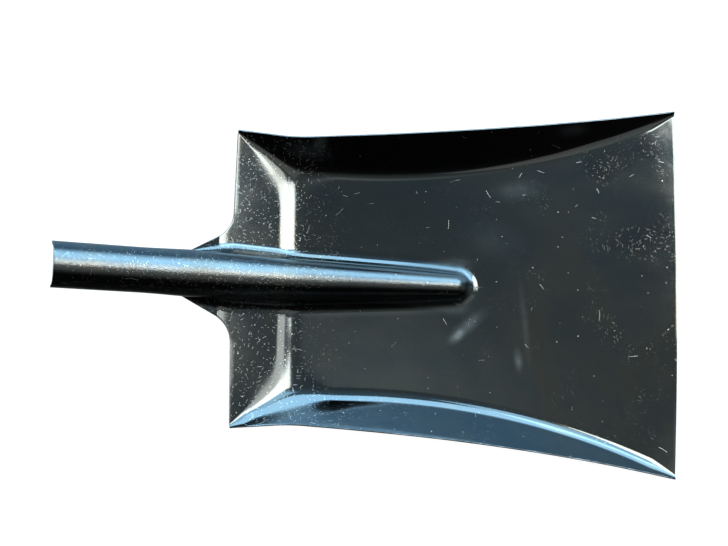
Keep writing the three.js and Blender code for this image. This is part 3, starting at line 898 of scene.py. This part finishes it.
def sheared_edge():
    """The sheet's cut edge: brighter, dragged steel where the lacquer is thin."""
    n = Nodes("sheared_edge")
    place = n.node("ShaderNodeAttribute", {}, "Vector", attribute_name="flat")
    drag = n.noise(n.scaled(place, (1.0, 1.0, 6.0)), 0.0016, 3.0, 0.7)
    worn = n.ramp(n.noise(place, 0.018, 3.0, 0.6), 0.4, 0.62)
    bright = n.mix(drag, (0.34, 0.35, 0.35, 1), (0.6, 0.61, 0.6, 1))
    colour = n.mix(worn, (0.12, 0.125, 0.125, 1), bright)
    height = n.node("ShaderNodeBump", {"Strength": 0.6, "Distance": 0.00005, "Height": drag})
    return n.finish(
        Base_Color=colour,
        Metallic=1.0,
        Roughness=n.ramp(drag, 0.2, 0.8, 0.28, 0.5),
        Normal=height,
    )


def weld_metal():
    """Bare weld: dull grey, browned by heat in patches, with a few bright spots."""
    n = Nodes("weld_metal")
    spot = n.node("ShaderNodeNewGeometry", {}, "Position")
    heat = n.noise(spot, 0.004, 3.0, 0.6, 0.4)
    grain = n.noise(spot, 0.0008, 3.0, 0.65)
    colour = n.mix(n.ramp(heat, 0.35, 0.65), (0.20, 0.19, 0.18, 1), (0.13, 0.10, 0.08, 1))
    colour = n.mix(n.ramp(grain, 0.62, 0.8), colour, (0.34, 0.34, 0.33, 1))
    height = n.node("ShaderNodeBump", {"Strength": 0.7, "Distance": 0.0001, "Height": grain})
    return n.finish(
        Base_Color=colour,
        Metallic=0.9,
        Roughness=n.ramp(grain, 0.2, 0.8, 0.35, 0.6),
        Normal=height,
    )


# ---------------------------------------------------------------------------------------------------------
# The pieces

steel = lacquered_steel()
edge_steel = sheared_edge()
weld_steel = weld_metal()

sheet = new_object("scoop_sheet", sheet_mesh())
sheet.data.materials.append(steel)
sheet.data.materials.append(edge_steel)
eased = sheet.modifiers.new("eased", "BEVEL")
eased.limit_method = "WEIGHT"
eased.width = EDGE_RADIUS * MM
eased.segments = 2
eased.use_clamp_overlap = False
eased.material = 1
even = sheet.modifiers.new("even", "WEIGHTED_NORMAL")
even.mode = "FACE_AREA"
even.weight = 100
even.keep_sharp = True
finished(sheet)
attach(sheet, "root")
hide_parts("scoop_pressing")

for index, from_mouth in enumerate(WELD_FROM_MOUTH):
    bead = new_object(f"weld_bead_{index + 1}", weld_mesh(index * 3.7))
    to_model = Matrix.Translation((-ORIGIN_X * MM, 0, TOP_FACE_Z * MM)) @ Matrix.Scale(MM, 4)
    bead.data.transform(to_model @ socket_frame(from_mouth))
    bead.data.materials.append(weld_steel)
    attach(bead, "root")
    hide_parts(f"seam_weld_{index + 1}")

# ---------------------------------------------------------------------------------------------------------
# The studio

FLOOR_SIZE = 30.0
FLOOR_DROP = 0.0003  # keeps the studio's floor just clear of the head's underside


def studio_floor():
    bpy.ops.mesh.primitive_plane_add(size=FLOOR_SIZE, location=(0, 0, -FLOOR_DROP))
    floor = bpy.context.object
    floor.name = "studio_floor"
    n = Nodes("studio_floor")
    floor.data.materials.append(n.finish(
        Base_Color=(0.16, 0.16, 0.16, 1),
        Roughness=1.0,
        Specular_IOR_Level=0.0,
        Emission_Color=(1, 1, 1, 1),
        Emission_Strength=0.97,
    ))
    floor.visible_glossy = False
    floor.visible_shadow = False


# The sky's colours from the -Y side (0) through overhead (0.5) to the +Y side (1).
SKY_STOPS = (
    (0.00, (0.004, 0.004, 0.004, 1)),
    (0.22, (0.02, 0.02, 0.018, 1)),
    (0.42, (0.24, 0.27, 0.26, 1)),
    (0.50, (0.26, 0.30, 0.30, 1)),
    (0.57, (0.19, 0.24, 0.26, 1)),
    (0.64, (0.20, 0.27, 0.31, 1)),
    (0.72, (0.26, 0.38, 0.46, 1)),
    (0.88, (0.30, 0.55, 0.80, 1)),
    (1.00, (0.36, 0.72, 1.10, 1)),
)
# Soft pools of light overhead: (direction, reach, radiance)
POOLS = (
    ((0.10, -0.02, 1.0), 0.16, (0.28, 0.31, 0.30)),
    ((0.28, 0.17, 1.0), 0.14, (0.08, 0.09, 0.09)),
    ((0.22, -0.02, 1.0), 0.12, (0.08, 0.09, 0.09)),
)


def studio_world():
    """A dim sky, black on the -Y side, grey overhead and blue on the +Y side; the camera sees white."""
    world = bpy.data.worlds.new("studio")
    world.use_nodes = True
    bpy.context.scene.world = world
    nodes, links = world.node_tree.nodes, world.node_tree.links
    background = nodes["Background"]
    direction = nodes.new("ShaderNodeTexCoord")
    split = nodes.new("ShaderNodeSeparateXYZ")
    links.new(direction.outputs["Generated"], split.inputs[0])
    ramp = nodes.new("ShaderNodeValToRGB")
    shift = nodes.new("ShaderNodeMapRange")
    shift.inputs["From Min"].default_value = -1
    links.new(split.outputs["Y"], shift.inputs["Value"])
    links.new(shift.outputs[0], ramp.inputs["Fac"])
    while len(ramp.color_ramp.elements) < len(SKY_STOPS):
        ramp.color_ramp.elements.new(0.5)
    for element, (at, colour) in zip(ramp.color_ramp.elements, SKY_STOPS):
        element.position = at
        element.color = colour
    glow = ramp.outputs["Color"]
    for at, reach, radiance in POOLS:
        away = nodes.new("ShaderNodeVectorMath")
        away.operation = "DISTANCE"
        links.new(direction.outputs["Generated"], away.inputs[0])
        away.inputs[1].default_value = Vector(at).normalized()
        fade = nodes.new("ShaderNodeMapRange")
        fade.interpolation_type = "SMOOTHSTEP"
        links.new(away.outputs["Value"], fade.inputs["Value"])
        fade.inputs["From Min"].default_value = reach
        fade.inputs["From Max"].default_value = 0.0
        lit = nodes.new("ShaderNodeMix")
        lit.data_type = "RGBA"
        lit.blend_type = "ADD"
        links.new(fade.outputs[0], lit.inputs[0])
        links.new(glow, lit.inputs[6])
        lit.inputs[7].default_value = (*radiance, 1)
        glow = lit.outputs[2]
    seen = nodes.new("ShaderNodeLightPath")
    pale = nodes.new("ShaderNodeMix")
    pale.data_type = "RGBA"
    links.new(seen.outputs["Is Camera Ray"], pale.inputs[0])
    links.new(glow, pale.inputs[6])
    pale.inputs[7].default_value = (1, 1, 1, 1)
    links.new(pale.outputs[2], background.inputs["Color"])


def softbox(name, at, target, width, height, radiance, colour):
    """An area light that shows in reflections with the given radiance, and isn't seen by the camera."""
    data = bpy.data.lights.new(name, "AREA")
    data.shape = "RECTANGLE"
    data.size, data.size_y = width, height
    data.energy = radiance * math.pi * width * height
    data.color = colour
    light = bpy.data.objects.new(name, data)
    bpy.context.scene.collection.objects.link(light)
    light.location = at
    aim = Vector(target) - Vector(at)
    light.rotation_euler = aim.to_track_quat("-Z", "Y").to_euler()
    light.visible_camera = False


def towards(polar, azimuth, distance):
    """The point at an angle from straight up, and an azimuth from +X towards +Y, both in degrees."""
    polar, azimuth = math.radians(polar), math.radians(azimuth)
    return Vector((
        distance * math.sin(polar) * math.cos(azimuth),
        distance * math.sin(polar) * math.sin(azimuth),
        distance * math.cos(polar),
    ))


CAMERA_AT = placed(Vector((-21.7, -103.1, 1166.5)))
CAMERA_TARGET = placed(Vector((117.9, 9.9, -1.5)))
CAMERA_ROLL = math.radians(1.159)
CAMERA_LENS = 64.29


def studio_camera():
    data = bpy.data.cameras.new("camera")
    data.sensor_width = 36
    data.lens = CAMERA_LENS
    data.clip_end = 100
    camera = bpy.data.objects.new("camera", data)
    bpy.context.scene.collection.objects.link(camera)
    forward = (CAMERA_TARGET - CAMERA_AT).normalized()
    level = forward.cross(Vector((0, 1, 0))).normalized()
    right = Matrix.Rotation(CAMERA_ROLL, 3, -forward) @ level
    turn = Matrix((right, right.cross(forward), -forward)).transposed().to_4x4()
    camera.matrix_world = Matrix.Translation(CAMERA_AT) @ turn
    bpy.context.scene.camera = camera


studio_floor()
studio_world()
BEND = placed(Vector((40, 60, 0)))
SKY = (0.45, 0.76, 1.0)
CREAM = (1.0, 0.97, 0.88)
GREY = (1.0, 0.97, 0.90)
WHITE = (1.0, 1.0, 1.0)
softbox("sky_strip", towards(60, 70, 4.0), (0, 0, 0), 6.5, 2.0, 5.0, SKY)
softbox("sky_wide", towards(62, 68, 4.6), (0, 0, 0), 9.0, 3.0, 1.3, SKY)
softbox("sky_front", towards(47, 41, 4.3), (0, 0, 0), 2.1, 2.2, 4.5, SKY)
softbox("warm_window", BEND + towards(39.0, 17, 4.0), BEND, 0.95, 1.60, 10.0, CREAM)
softbox("warm_spill", BEND + towards(44, 3, 4.1), BEND, 0.5, 0.85, 3.5, CREAM)
softbox("grey_side", towards(38, -30, 4.0), (0, 0, 0), 1.6, 2.2, 0.35, GREY)
softbox("rear_card", towards(68, 180, 4.0), (0, 0, 0), 3.0, 2.4, 3.0, WHITE)
studio_camera()
bpy.context.scene.view_settings.view_transform = "Standard"
